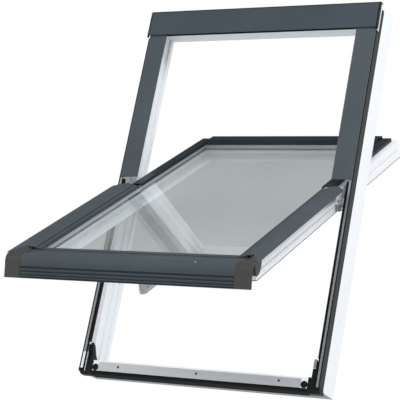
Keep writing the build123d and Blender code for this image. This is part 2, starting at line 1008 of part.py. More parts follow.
# Lower side covers on the sash: stepped sheet reaching over the frame's lips
lower_cover_foot = pocket_bottom - 7.5
lower_cover_top = pivot_height - cover_split
edge_seat = lip_level + 0.8
with BuildPart() as lower_cover_right:
    extrude(
        rail_profile(
            [
                (cover_outer_x, edge_seat),
                (cover_outer_x, edge_seat + 1.5),
                (cover_outer_x - 4.5, edge_seat + 3.1),
                (cover_outer_x - 40.5, edge_seat + 2.3),
                (glass_view_half + 25.5, edge_seat - 0.7),
                (glass_view_half + 24.5, edge_seat - 3.1),
                (glass_view_half + 11.5, strip_base + 6.5),
                (glass_view_half + 10.5, strip_base + 5.1),
                (glass_view_half + 1.5, strip_base + 4.5),
                (glass_view_half, strip_base + 3.5),
                (glass_view_half, seal_top),
                (glass_view_half + 2, seal_top),
                (glass_view_half + 4, strip_base + 2.8),
                (glass_view_half + 12.5, strip_base + 4.7),
                (glass_view_half + 26, edge_seat - 4.8),
                (glass_view_half + 28, edge_seat - 2.3),
                (pocket_half + 4, edge_seat - 1.1),
                (pocket_half + 4, strip_base),
                (pocket_half + 7, strip_base),
                (pocket_half + 7, edge_seat - 0.6),
                (sash_half - 8, edge_seat + 0.5),
                (cover_outer_x - 5, edge_seat + 1.3),
                (cover_outer_x - 1.8, edge_seat + 0.6),
                (cover_outer_x - 1.8, edge_seat),
            ],
            channel_foot,
            True,
        ),
        amount=lower_cover_top - channel_foot,
    )
    extrude(
        front_profile(
            [
                (glass_view_half - 1, channel_foot - 1),
                (end_cap_half + 0.6, channel_foot - 1),
                (end_cap_half + 0.6, channel_foot),
                (end_cap_half - end_cap_cut + 4.6, lower_cover_foot),
                (glass_view_half - 1, lower_cover_foot),
            ],
            sash_inner_level,
            True,
        ),
        amount=pivot_level,
        mode=Mode.SUBTRACT,
    )
    extrude(
        front_profile(
            [
                (sash_half, lower_cover_top + 1),
                (half_width, lower_cover_top + 1),
                (half_width, lower_cover_top - 38),
            ],
            strip_base,
            True,
        ),
        amount=hood_rise + sash_depth,
        mode=Mode.SUBTRACT,
    )
lower_cover_right.part.label = "lower_cover_right"
export_step(lower_cover_right.part, "parts/lower_cover_right.step")

with BuildPart() as lower_cover_left:
    mirror(lower_cover_right.part, about=Plane.YZ)
lower_cover_left.part.label = "lower_cover_left"
export_step(lower_cover_left.part, "parts/lower_cover_left.step")

# Dark glazing strips along the upper half and across the top of the sash
strip_top_level = lip_level
upper_strip_end = sash_top - 12
with BuildPart() as upper_strip_right:
    extrude(
        rail_profile(
            [
                (glass_view_half, seal_top),
                (glass_view_half, strip_base + 3.5),
                (glass_view_half + 2, strip_top_level),
                (pocket_half + 1, strip_top_level),
                (pocket_half + 2.4, strip_top_level - 1.4),
                (pocket_half + 2.4, strip_base),
                (pocket_half + 0.4, strip_base),
                (pocket_half + 0.4, strip_top_level - sheet),
                (glass_view_half + 3.6, strip_top_level - sheet),
                (glass_view_half + 2, seal_top),
            ],
            pivot_height + 2,
            True,
        ),
        amount=upper_strip_end - pivot_height - 2,
    )
upper_strip_right.part.label = "upper_strip_right"
export_step(upper_strip_right.part, "parts/upper_strip_right.step")

with BuildPart() as upper_strip_left:
    mirror(upper_strip_right.part, about=Plane.YZ)
upper_strip_left.part.label = "upper_strip_left"
export_step(upper_strip_left.part, "parts/upper_strip_left.step")

top_strip_level = hood_level - 5
top_view = sash_top - (sash_half - glass_view_half)
with BuildPart() as top_strip:
    extrude(
        side_profile(
            [
                (strip_base, top_view),
                (strip_base + 3.5, top_view),
                (top_strip_level, top_view + 7),
                (top_strip_level, sash_top - 2.5),
                (top_strip_level - 1.5, sash_top - 1),
                (strip_base, sash_top - 1),
                (strip_base, sash_top - 1 - sheet),
                (top_strip_level - sheet, sash_top - 1 - sheet),
                (top_strip_level - sheet, top_view + 8.5),
                (strip_base + 2.6, top_view + sheet),
                (strip_base, top_view + sheet),
            ],
            seat - glass_view_half,
            True,
        ),
        amount=2 * (glass_view_half - seat),
    )
top_strip.part.label = "top_strip"
export_step(top_strip.part, "parts/top_strip.step")

# Front cover: rounded nose over the sill, ribbed underside, and its end caps
nose = [
    (y_at(strip_base + cover_wall), pocket_bottom - 8),
    (y_at(strip_base + cover_wall), pocket_bottom - 20),
    (y_at(sill_front + 3.9), pocket_bottom - 28),
    (y_at(sill_front + 5), pocket_bottom - 38),
    (y_at(lip_level - 1), pocket_bottom - 48),
    (y_at(lip_level + 1.8), pocket_bottom - 58),
    (y_at(lip_level + 1), pocket_bottom - 68),
    (y_at(lip_level - 4), pocket_bottom - 76.5),
    (y_at(lip_level - 12), pocket_bottom - 83),
    (y_at(lip_level - 21.5), pocket_bottom - 86.5),
    (y_at(lip_level - 55.5), pocket_bottom - 102),
]
rib_start = Vector(nose[-2])
rib_end = Vector(nose[-1])
rib_points = [rib_start + (rib_end - rib_start) * share for share in (0.08, 0.33, 0.58, 0.83)]
with BuildPart() as front_cover:
    extrude(sheet_face(nose, 0, cover_wall, -front_cover_half), amount=2 * front_cover_half)
    extrude(
        discs(across(-front_cover_half, True), rib_points, rib_radius),
        amount=2 * front_cover_half,
    )
front_cover.part.label = "front_cover"
export_step(front_cover.part, "parts/front_cover.step")

cheek_top = -14.0
with BuildPart() as end_cap_right:
    extrude(
        sheet_face(nose, end_cap_proud, cover_wall, front_cover_half + seat),
        amount=end_cap_half - front_cover_half - seat,
    )
    with BuildSketch(across(end_cap_half - cheek_thickness, True)):
        with BuildLine():
            Polyline(
                *nose[4:],
                (y_at(foot_level - 16), cheek_top),
                (y_at(frame_depth + 0.8), cheek_top),
                (y_at(frame_depth + 0.8), channel_foot + 8),
                close=True,
            )
        make_face()
    extrude(amount=cheek_thickness)
    extrude(
        front_profile(
            [
                (end_cap_half + 1, channel_foot),
                (end_cap_half + 1, pocket_bottom),
                (end_cap_half - end_cap_cut, pocket_bottom),
                (end_cap_half, channel_foot),
            ],
            sash_inner_level,
            True,
        ),
        amount=pivot_level,
        mode=Mode.SUBTRACT,
    )
end_cap_right.part.label = "end_cap_right"
export_step(end_cap_right.part, "parts/end_cap_right.step")

with BuildPart() as end_cap_left:
    mirror(end_cap_right.part, about=Plane.YZ)
end_cap_left.part.label = "end_cap_left"
export_step(end_cap_left.part, "parts/end_cap_left.step")

# Bright strips along the outer sides of the lower sash
side_strip_sheet = 1.2
side_strip_top = pivot_height - 26
with BuildPart() as side_strip_right:
    extrude(
        rail_profile(
            [
                (sash_half, sash_outer - 21),
                (sash_half + side_strip_sheet, sash_outer - 20),
                (sash_half + side_strip_sheet, sash_outer - 12),
                (sash_half, sash_outer - 11),
            ],
            pocket_bottom,
            True,
        ),
        amount=side_strip_top - pocket_bottom,
    )
side_strip_right.part.label = "side_strip_right"
export_step(side_strip_right.part, "parts/side_strip_right.step")

with BuildPart() as side_strip_left:
    mirror(side_strip_right.part, about=Plane.YZ)
side_strip_left.part.label = "side_strip_left"
export_step(side_strip_left.part, "parts/side_strip_left.step")

# Hinge carriers: a plate on each sash side with a curved rail that rides in the track
rail_end_x = guide_x + guide_thickness - guide_floor - rail_clearance
carrier_x = sash_half + carrier_thickness
with BuildPart() as hinge_carrier_right:
    extrude(
        arc_band(sash_half, track_inner_radius - 4, track_outer_radius + 3, -8, 65, True),
        amount=carrier_thickness,
    )
    extrude(
        side_profile(
            [
                (sash_outer - 30, pivot_height - 9),
                (sash_outer - 1, pivot_height - 9),
                (sash_outer - 1, pivot_height + 98),
                (sash_outer - 30, pivot_height + 98),
            ],
            sash_half,
            True,
        ),
        amount=carrier_thickness,
    )
    extrude(
        arc_band(
            carrier_x,
            track_inner_radius + rail_clearance,
            track_outer_radius - rail_clearance,
            rail_start_angle,
            rail_end_angle,
            True,
        ),
        amount=rail_end_x - carrier_x,
    )
    extrude(
        discs(across(sash_half, True), carrier_screw_points, hinge_screw_radius + seat),
        amount=carrier_thickness,
        mode=Mode.SUBTRACT,
    )
hinge_carrier_right.part.label = "hinge_carrier_right"
export_step(hinge_carrier_right.part, "parts/hinge_carrier_right.step")

with BuildPart() as hinge_carrier_left:
    mirror(hinge_carrier_right.part, about=Plane.YZ)
hinge_carrier_left.part.label = "hinge_carrier_left"
export_step(hinge_carrier_left.part, "parts/hinge_carrier_left.step")

with BuildPart() as carrier_screws_right:
    extrude(
        discs(across(carrier_x, True), carrier_screw_points, hinge_head_radius - 0.2),
        amount=hinge_head_height,
    )
    extrude(
        discs(across(carrier_x, True), carrier_screw_points, hinge_screw_radius),
        amount=-carrier_thickness - sash_pilot,
    )
carrier_screws_right.part.label = "carrier_screws_right"
export_step(carrier_screws_right.part, "parts/carrier_screws_right.step")

with BuildPart() as carrier_screws_left:
    mirror(carrier_screws_right.part, about=Plane.YZ)
carrier_screws_left.part.label = "carrier_screws_left"
export_step(carrier_screws_left.part, "parts/carrier_screws_left.step")

# Black curved caps on the sash sides below the hinges
with BuildPart() as hinge_cap_right:
    extrude(arc_band(sash_half, 80, 99, -26, -10, True), amount=guide_x - sash_half - 2.5)
hinge_cap_right.part.label = "hinge_cap_right"
export_step(hinge_cap_right.part, "parts/hinge_cap_right.step")

with BuildPart() as hinge_cap_left:
    mirror(hinge_cap_right.part, about=Plane.YZ)
hinge_cap_left.part.label = "hinge_cap_left"
export_step(hinge_cap_left.part, "parts/hinge_cap_left.step")

# Lock case inside the bottom rail, with its latch drawn back
case_gap = 0.2
latch_tip = sash_bottom + 0.6
with BuildPart() as lock_case:
    extrude(
        panel(
            lock_level + case_gap,
            lock_x - lock_half + case_gap,
            lock_x + lock_half - case_gap,
            sash_bottom + 0.5,
            lock_top - case_gap,
            True,
        ),
        amount=lock_depth - 2 * case_gap,
    )
    extrude(
        panel(
            bolt_level - 0.3,
            lock_x - latch_half - 0.3,
            lock_x + latch_half + 0.3,
            sash_bottom,
            latch_tip + latch_length + 0.5,
            True,
        ),
        amount=lock_depth - 5.4,
        mode=Mode.SUBTRACT,
    )
    extrude(
        discs(facing(lock_level, True), [(lock_x, spindle_z)], spindle_side * 0.75),
        amount=lock_depth,
        mode=Mode.SUBTRACT,
    )
lock_case.part.label = "lock_case"
export_step(lock_case.part, "parts/lock_case.step")

with BuildPart() as latch_bolt:
    extrude(
        panel(
            bolt_level,
            lock_x - latch_half,
            lock_x + latch_half,
            latch_tip,
            latch_tip + latch_length,
            True,
        ),
        amount=lock_depth - 6,
    )
    chamfer(latch_bolt.edges().group_by(Axis.Z)[0], length=1)
latch_bolt.part.label = "latch_bolt"
export_step(latch_bolt.part, "parts/latch_bolt.step")

# Handle: plate, square spindle and a lever that points up when the sash is free
plate_thickness = 9.0
plate_level = sash_inner_level - plate_thickness
with BuildPart() as handle_plate:
    with BuildSketch(facing(plate_level, True)):
        with Locations((lock_x, spindle_z + 12)):
            RectangleRounded(30, 58, 8)
        with Locations((lock_x, spindle_z)):
            Circle(boss_radius + running_gap, mode=Mode.SUBTRACT)
    extrude(amount=plate_thickness)
handle_plate.part.label = "handle_plate"
export_step(handle_plate.part, "parts/handle_plate.step")

handle_end = sash_inner_level - handle_reach
lever_depth = 12.0
neck_radius = 10.5
with BuildPart() as handle:
    extrude(
        discs(facing(handle_end + lever_depth / 2, True), [(lock_x, spindle_z)], neck_radius),
        amount=plate_level - 0.3 - handle_end - lever_depth / 2,
    )
    extrude(
        discs(facing(plate_level - 0.4, True), [(lock_x, spindle_z)], boss_radius),
        amount=plate_thickness,
    )
    with BuildSketch(facing(handle_end, True)):
        with BuildLine():
            Polyline(
                (lock_x - neck_radius, spindle_z - 4),
                (lock_x - 5, spindle_z - neck_radius),
                (lock_x + 5, spindle_z - neck_radius),
                (lock_x + neck_radius, spindle_z - 4),
                (lock_x + neck_radius - 2, spindle_z + handle_length - 6),
                (lock_x + 4, spindle_z + handle_length),
                (lock_x - 4, spindle_z + handle_length),
                (lock_x - neck_radius + 2, spindle_z + handle_length - 6),
                close=True,
            )
        make_face()
    extrude(amount=lever_depth)
    extrude(
        panel(
            plate_level - 1,
            lock_x - spindle_side / 2 - 0.05,
            lock_x + spindle_side / 2 + 0.05,
            spindle_z - spindle_side / 2 - 0.05,
            spindle_z + spindle_side / 2 + 0.05,
            True,
        ),
        amount=plate_thickness + 2,
        mode=Mode.SUBTRACT,
    )
handle.part.label = "handle"
export_step(handle.part, "parts/handle.step")

with BuildPart() as spindle:
    extrude(
        panel(
            plate_level - 0.9,
            lock_x - spindle_side / 2,
            lock_x + spindle_side / 2,
            spindle_z - spindle_side / 2,
            spindle_z + spindle_side / 2,
            True,
        ),
        amount=lock_level + lock_depth - 1 - plate_level,
    )
spindle.part.label = "spindle"
export_step(spindle.part, "parts/spindle.step")
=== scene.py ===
import json
import math

import bmesh
import bpy
from mathutils import Matrix, Vector


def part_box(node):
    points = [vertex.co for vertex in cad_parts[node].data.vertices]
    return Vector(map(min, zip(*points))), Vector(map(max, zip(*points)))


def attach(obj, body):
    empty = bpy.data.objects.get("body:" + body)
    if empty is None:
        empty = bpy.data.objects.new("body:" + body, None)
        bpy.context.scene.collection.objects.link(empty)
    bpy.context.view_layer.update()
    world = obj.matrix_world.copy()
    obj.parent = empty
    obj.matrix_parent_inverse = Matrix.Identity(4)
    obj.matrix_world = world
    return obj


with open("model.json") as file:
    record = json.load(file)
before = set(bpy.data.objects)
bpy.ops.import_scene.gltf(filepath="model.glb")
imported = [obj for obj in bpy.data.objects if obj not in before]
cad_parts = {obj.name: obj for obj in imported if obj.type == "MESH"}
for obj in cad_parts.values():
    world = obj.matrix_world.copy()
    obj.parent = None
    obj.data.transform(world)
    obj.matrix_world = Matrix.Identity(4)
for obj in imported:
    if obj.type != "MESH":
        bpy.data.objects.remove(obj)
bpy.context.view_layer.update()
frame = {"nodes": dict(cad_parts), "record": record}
nodes = frame["nodes"]

# The window stands upright in its own frame: x across, z up the slope, -y out of the roof.
# Lengths are in metres. Places on the sash and on the frame are in millimetres: across, up
# the slope, and out of the room face.
floor_height = -1.6
floor_size = 600.0

# Camera, at the photograph's viewing angle
camera_place = Vector((2.0598, -3.8052, -0.8140))
camera_right = Vector((0.8799, 0.4390, 0.1816))
camera_down = Vector((0.0185, 0.3503, -0.9364))
camera_lens = 136.28

camera = bpy.data.cameras.new("camera")
camera.lens = camera_lens
camera.sensor_width = 36.0
camera.clip_start = 0.1
camera.clip_end = 1000.0
camera_object = bpy.data.objects.new("camera", camera)
bpy.context.scene.collection.objects.link(camera_object)
right = camera_right.normalized()
up = (-camera_down - right * (-camera_down).dot(right)).normalized()
back = right.cross(up)
turn = Matrix((right, up, back)).transposed()
camera_object.matrix_world = Matrix.Translation(camera_place) @ turn.to_4x4()
bpy.context.scene.camera = camera_object
bpy.context.scene.view_settings.view_transform = "Standard"


# Material nodes
noise_low, noise_high = 0.3, 0.7
grain_height = 0.0004


def node_of(tree, kind, x, y):
    """A new node of that kind, placed on the node canvas."""
    made = tree.nodes.new(kind)
    made.location = (x, y)
    return made


def noise(tree, source, scale, detail, x, y):
    """The value of a noise texture over the given coordinates."""
    made = node_of(tree, "ShaderNodeTexNoise", x, y)
    made.inputs["Scale"].default_value = scale
    made.inputs["Detail"].default_value = detail
    tree.links.new(source, made.inputs["Vector"])
    return made.outputs["Fac"]


def spread(tree, source, start, end, low, high, x, y):
    """The source, from start to end, spread over low to high."""
    made = node_of(tree, "ShaderNodeMapRange", x, y)
    made.inputs["From Min"].default_value = start
    made.inputs["From Max"].default_value = end
    made.inputs["To Min"].default_value = low
    made.inputs["To Max"].default_value = high
    tree.links.new(source, made.inputs["Value"])
    return made


def between(tree, source, low, high, x, y):
    """A noise, from about its lowest to its highest value, spread over low to high."""
    return spread(tree, source, noise_low, noise_high, low, high, x, y).outputs["Result"]


def worked(tree, operation, sources, x, y):
    """What a maths node makes of one or two sockets."""
    made = node_of(tree, "ShaderNodeMath", x, y)
    made.operation = operation
    for place, source in enumerate(sources):
        tree.links.new(source, made.inputs[place])
    return made.outputs["Value"]


def parts_of(tree, source, x, y):
    """The X, Y and Z outputs of a vector socket."""
    made = node_of(tree, "ShaderNodeSeparateXYZ", x, y)
    tree.links.new(source, made.inputs["Vector"])
    return made.outputs


def blended(tree, share, x, y):
    """A colour mix whose share comes from that socket."""
    made = node_of(tree, "ShaderNodeMix", x, y)
    made.data_type = "RGBA"
    tree.links.new(share, made.inputs["Factor"])
    return made


def new_material(name):
    """A material of that name, its node tree and its shader."""
    made = bpy.data.materials.new(name)
    made.use_nodes = True
    return made, made.node_tree, made.node_tree.nodes["Principled BSDF"]


def drifting_colour(tree, shader, source, colour, drift, scale, detail):
    """Colours the shader, a little lighter and darker from place to place."""
    broad = noise(tree, source, scale, detail, -800, 200)
    tint = node_of(tree, "ShaderNodeVectorMath", -400, 200)
    tint.operation = "SCALE"
    tint.inputs[0].default_value = colour
    shade = between(tree, broad, 1.0 - drift, 1.0 + drift, -600, 200)
    tree.links.new(shade, tint.inputs["Scale"])
    tree.links.new(tint.outputs["Vector"], shader.inputs["Base Color"])


def surface(
    name,
    colour,
    drift=0.05,
    roughness=(0.35, 0.5),
    grain=900.0,
    relief=0.08,
    stretch=(1.0, 1.0, 1.0),
    metallic=0.0,
    specular=0.5,
):
    """A material whose colour and gloss drift softly, with a fine grain in its relief."""
    made, tree, shader = new_material(name)
    shader.inputs["Metallic"].default_value = metallic
    shader.inputs["Specular IOR Level"].default_value = specular
    place = node_of(tree, "ShaderNodeTexCoord", -1200, 0)
    mapping = node_of(tree, "ShaderNodeMapping", -1000, 0)
    mapping.inputs["Scale"].default_value = stretch
    tree.links.new(place.outputs["Object"], mapping.inputs["Vector"])
    source = mapping.outputs["Vector"]
    drifting_colour(tree, shader, source, colour, drift, scale=6.0, detail=3.0)
    fine = noise(tree, source, grain, 2.0, -800, -200)
    gloss = between(tree, fine, roughness[0], roughness[1], -600, 0)
    tree.links.new(gloss, shader.inputs["Roughness"])
    bump = node_of(tree, "ShaderNodeBump", -400, -200)
    bump.inputs["Strength"].default_value = relief
    bump.inputs["Distance"].default_value = grain_height
    tree.links.new(fine, bump.inputs["Height"])
    tree.links.new(bump.outputs["Normal"], shader.inputs["Normal"])
    return made


def glazing(name, colour):
    """Clear pane glass with a faint green-grey tint that drifts a little."""
    made, tree, shader = new_material(name)
    shader.inputs["Transmission Weight"].default_value = 1.0
    shader.inputs["IOR"].default_value = 1.45
    shader.inputs["Roughness"].default_value = 0.0
    place = node_of(tree, "ShaderNodeTexCoord", -1200, 0)
    source = place.outputs["Object"]
    drifting_colour(tree, shader, source, colour, drift=0.03, scale=3.0, detail=1.0)
    # Lamp light and soft light go straight through the panes, so what is behind them is lit
    clear = node_of(tree, "ShaderNodeBsdfTransparent", 100, -200)
    clear.inputs["Color"].default_value = (0.97, 0.98, 0.98, 1.0)
    path = node_of(tree, "ShaderNodeLightPath", -200, 400)
    rays = (path.outputs["Is Shadow Ray"], path.outputs["Is Diffuse Ray"])
    mix = node_of(tree, "ShaderNodeMixShader", 400, 200)
    tree.links.new(worked(tree, "MAXIMUM", rays, 0, 400), mix.inputs["Fac"])
    tree.links.new(shader.outputs["BSDF"], mix.inputs[1])
    tree.links.new(clear.outputs["BSDF"], mix.inputs[2])
    tree.links.new(mix.outputs["Shader"], tree.nodes["Material Output"].inputs["Surface"])
    return made


def repaint(tree, share, colour):
    """Blends the shader's colour toward another by the share from that socket."""
    shader = tree.nodes["Principled BSDF"]
    base = shader.inputs["Base Color"].links[0].from_socket
    blend = blended(tree, share, -200, 400)
    tree.links.new(base, blend.inputs["A"])
    blend.inputs["B"].default_value = (*colour, 1.0)
    tree.links.new(blend.outputs["Result"], shader.inputs["Base Color"])


def painted_dark_edges(material, box, reach, colour):
    """Darkens the folded edges of a sheet, its top and both its ends, that far in, with a
    painted dark reflection.
    """
    tree = material.node_tree
    place = node_of(tree, "ShaderNodeTexCoord", -1200, 500)
    parts = parts_of(tree, place.outputs["Object"], -1000, 500)
    across = worked(tree, "ABSOLUTE", (parts["X"],), -800, 500)
    limits = []
    for source, end in ((parts["Z"], box[1][2]), (across, box[1][0])):
        start, full = end - reach * 1.3, end - reach * 0.8
        limit = spread(tree, source, start, full, 0.0, 1.0, -600, 500)
        limits.append(limit.outputs["Result"])
    repaint(tree, worked(tree, "MAXIMUM", limits, -400, 500), colour)


def painted_underside_shade(material, colour):
    """Paints shade, as a grey, on the faces that look straight down at the foot, on which the
    window stands.
    """
    facing_start, facing_full = -0.6, -0.9
    height_start, height_full = 0.012, 0.004
    tree = material.node_tree
    facing = node_of(tree, "ShaderNodeNewGeometry", -800, 500)
    normal = parts_of(tree, facing.outputs["Normal"], -600, 500)
    place = node_of(tree, "ShaderNodeTexCoord", -800, 700)
    parts = parts_of(tree, place.outputs["Object"], -600, 700)
    down = spread(tree, normal["Z"], facing_start, facing_full, 0.0, 1.0, -400, 500)
    foot = spread(tree, parts["Z"], height_start, height_full, 0.0, 1.0, -400, 700)
    limits = (down.outputs["Result"], foot.outputs["Result"])
    repaint(tree, worked(tree, "MULTIPLY", limits, -300, 600), colour)


# Materials
white_plastic = dict(
    colour=(0.84, 0.85, 0.86), drift=0.015, roughness=(0.28, 0.4), grain=700.0, relief=0.05
)
surfaces = {
    "pvc_white": white_plastic,
    "cladding": dict(
        colour=(0.064, 0.079, 0.087),
        drift=0.08,
        roughness=(0.34, 0.48),
        grain=1400.0,
        relief=0.14,
        specular=0.14,
    ),
    # A near-black copy of the cladding paint for the edge channels: painted shade
    "dark_edge": dict(
        colour=(0.005, 0.009, 0.009),
        drift=0.1,
        roughness=(0.25, 0.36),
        grain=1400.0,
        relief=0.08,
        specular=0.12,
    ),
    "frame_white": white_plastic,
    "hood": dict(
        colour=(0.049, 0.062, 0.074),
        drift=0.08,
        roughness=(0.34, 0.48),
        grain=1400.0,
        relief=0.14,
        specular=0.16,
    ),
    "strip_dark": dict(
        colour=(0.018, 0.024, 0.028),
        drift=0.08,
        roughness=(0.32, 0.46),
        grain=1400.0,
        relief=0.12,
        specular=0.16,
    ),
    "block_grey": dict(
        colour=(0.22, 0.225, 0.22), drift=0.06, roughness=(0.3, 0.45), grain=900.0, relief=0.1
    ),
    "dark_steel": dict(
        colour=(0.06, 0.06, 0.065),
        drift=0.1,
        roughness=(0.35, 0.5),
        grain=1300.0,
        relief=0.1,
        metallic=0.6,
    ),
    "lip_metal": dict(
        colour=(0.25, 0.262, 0.27),
        drift=0.05,
        roughness=(0.2, 0.32),
        grain=900.0,
        relief=0.05,
        stretch=(1.0, 1.0, 0.04),
        metallic=0.3,
    ),
    "pale_metal": dict(
        colour=(0.62, 0.63, 0.65),
        drift=0.04,
        roughness=(0.22, 0.36),
        grain=800.0,
        relief=0.06,
        stretch=(1.0, 1.0, 0.04),
        metallic=0.7,
    ),
    "brushed_metal": dict(
        colour=(0.56, 0.57, 0.58),
        drift=0.08,
        roughness=(0.3, 0.48),
        grain=1500.0,
        relief=0.2,
        stretch=(0.02, 1.0, 1.0),
        metallic=0.85,
    ),
    "pale_plastic": dict(
        colour=(0.46, 0.47, 0.46), drift=0.05, roughness=(0.4, 0.55), grain=900.0, relief=0.1
    ),
    "black_rubber": dict(
        colour=(0.006, 0.006, 0.007),
        drift=0.2,
        roughness=(0.5, 0.7),
        grain=1200.0,
        relief=0.18,
        specular=0.1,
    ),
    "black_plastic": dict(
        colour=(0.007, 0.008, 0.009),
        drift=0.15,
        roughness=(0.34, 0.5),
        grain=1100.0,
        relief=0.14,
        specular=0.14,
    ),
    "brown_plastic": dict(
        colour=(0.056, 0.052, 0.046),
        drift=0.08,
        roughness=(0.42, 0.56),
        grain=1100.0,
        relief=0.16,
        specular=0.3,
    ),
    "spacer_metal": dict(
        colour=(0.85, 0.86, 0.87), drift=0.03, roughness=(0.35, 0.5), grain=1200.0, relief=0.06
    ),
    "steel": dict(
        colour=(0.42, 0.43, 0.45),
        drift=0.08,
        roughness=(0.25, 0.4),
        grain=1300.0,
        relief=0.1,
        metallic=0.9,
    ),
    "hinge_metal": dict(
        colour=(0.7, 0.705, 0.71),
        drift=0.06,
        roughness=(0.4, 0.6),
        grain=900.0,
        relief=0.2,
        metallic=0.2,
    ),
    "handle_grey": dict(
        colour=(0.42, 0.42, 0.42),
        drift=0.03,
        roughness=(0.3, 0.42),
        grain=1200.0,
        relief=0.08,
        metallic=0.3,
    ),
}
looks = {name: surface(name, **facts) for name, facts in surfaces.items()}
looks["glass"] = glazing("glass", (0.93, 0.95, 0.947))

underside_shade_grey = (0.24, 0.235, 0.22)
painted_edge_width = 0.0045
painted_edge_black = (0.006, 0.008, 0.009)
# Painted shade: the frame's faces that look down at its foot are greyed
painted_underside_shade(looks["frame_white"], underside_shade_grey)
# Painted dark reflection along the hood's top and both its ends
painted_dark_edges(looks["hood"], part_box("top_hood"), painted_edge_width, painted_edge_black)

# Each node has its slot's look, but for a few whose own look is closer to the photograph
slots = {part["node"]: part["material_slot"] for part in frame["record"]["subparts"]}
special = {
    # The hood's look carries a painted dark reflection along its top and ends
    "top_hood": "hood",
    # The edge channels take the near-black copy of the cladding paint, as painted shade
    "edge_channel_left": "dark_edge",
    "edge_channel_right": "dark_edge",
    "sill_screws": "dark_steel",
    "lip_strip_left": "lip_metal",
    "lip_strip_right": "lip_metal",
    "lip_plug_right": "lip_metal",
    "lip_plug_left": "pvc_white",
    # frame_white carries painted shade on the frame's down-facing foot
    "outer_frame": "frame_white",
    "hinge_cap_left": "block_grey",
    "hinge_cap_right": "block_grey",
    "top_strip": "strip_dark",
    "upper_strip_left": "strip_dark",
    "upper_strip_right": "strip_dark",
}
for name, shown in nodes.items():
    shown.data.materials.clear()
    shown.data.materials.append(looks[special.get(name, slots[name])])

# Rolled and moulded edges are slightly round, so they catch the light
sharp_edge = math.radians(40.0)
edge_radius = {
    "pvc_white": 0.0008,
    "cladding": 0.0005,
    "brown_plastic": 0.0008,
    "black_plastic": 0.0005,
    "handle_grey": 0.0008,
    "pale_metal": 0.0003,
    "brushed_metal": 0.0003,
}
for name, shown in nodes.items():
    radius = edge_radius.get(slots[name])
    if radius:
        bevel = shown.modifiers.new("edge", "BEVEL")
        bevel.width = radius
        bevel.segments = 2
        bevel.limit_method = "ANGLE"
        bevel.angle_limit = sharp_edge

# The sash is drawn shut and turned about its axis to where it stands at rest
pivot = Vector((0.0, -0.086, 0.614))
opening = Matrix.Rotation(math.radians(-50.7), 3, "X")
room_face = 52.0


def in_frame(across, along, out):
    """A place on the frame, from millimetres."""
    return Vector((across, room_face - out, along)) / 1000.0


def on_sash(across, along, out):
    """A place on the shut sash, from millimetres, where the sash stands at rest."""
    return opening @ (in_frame(across, along, out) - pivot) + pivot


def add_piece(name, rows, look, body):
    """A closed piece over rings of points of one length, which rides on that body."""
    width = len(rows[0])
    points = [point for row in rows for point in row]
    last = (len(rows) - 1) * width
    faces = []
    for low in range(0, last, width):
        for place in range(width):
            after = (place + 1) % width
            faces.append((low + place, low + after, low + width + after, low + width + place))
    faces.append(tuple(range(width)))
    faces.append(tuple(range(last, last + width)))
    mesh = bpy.data.meshes.new(name)
    mesh.from_pydata(points, [], faces)
    mesh.validate()
    shape = bmesh.new()
    shape.from_mesh(mesh)
    bmesh.ops.remove_doubles(shape, verts=shape.verts, dist=1e-6)
    bmesh.ops.recalc_face_normals(shape, faces=shape.faces)
    shape.to_mesh(mesh)
    shape.free()
    for face in mesh.polygons:
        face.use_smooth = True
    piece = bpy.data.objects.new(name, mesh)
    bpy.context.scene.collection.objects.link(piece)
    mesh.materials.append(looks[look])
    edges = piece.modifiers.new("sharp", "EDGE_SPLIT")
    edges.split_angle = sharp_edge
    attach(piece, body)


sides = ((-1.0, "left"), (1.0, "right"))

# The end caps' moulded corners. A saddle rises from the nose to the side cover's cut end,
# a cheek and a foot wrap the sash's lower corner, and a ledge closes the saddle's top.

# The cap's skin, up the slope and out
cap_nose = (
    (8.0, 110.5),
    (18.0, 107.7),
    (28.0, 104.2),
    (38.0, 103.1),
    (46.0, 100.3),
    (58.0, 100.3),
)

# The cap's slanted edge, across at its foot and at its top, and how far up the slope it runs
cut_foot = 377.4
cut_top = 346.6
cut_length = 58.0
cut_slope = (cut_foot - cut_top) / cut_length

# The saddle, which follows that edge
saddle_start = 8.0
saddle_low = 8.2
saddle_high = 57.8
saddle_steps = 20
saddle_points = 10
saddle_edge = 377.3
saddle_width = 24.0
saddle_inner = 330.0
saddle_crest = 111.2
saddle_curve = 2.2
skin_proud = 0.05
skin_sunk = 0.8

# The cheek's sections: how far up the slope, and from where to where out
cheek = (
    (42.7, 56.5, 96.6),
    (46.0, 54.5, 96.8),
    (52.0, 54.0, 96.8),
    (58.0, 55.0, 96.8),
    (64.0, 57.5, 96.8),
    (70.0, 61.5, 96.8),
    (76.0, 67.0, 96.8),
    (81.0, 74.0, 96.6),
    (84.5, 82.0, 96.4),
    (86.5, 91.0, 96.0),
)

# The foot's sections: where across, and from where to where out
cap_foot = (
    (334.0, 60.0, 83.5),
    (338.0, 57.5, 83.6),
    (349.8, 56.5, 83.6),
    (350.2, 56.5, 96.6),
    (355.4, 56.5, 96.6),
)

# The ledge's top edge, across and out
ledge = ((351.2, 111.0), (347.0, 110.6), (342.0, 109.6), (337.0, 107.0))


def cap_surface(along):
    """How far out the end cap's skin lies, so far up the slope."""
    for (low, first), (high, second) in zip(cap_nose, cap_nose[1:]):
        if along <= high:
            share = max(0.0, (along - low) / (high - low))
            return first + (second - first) * share
    return cap_nose[-1][1]


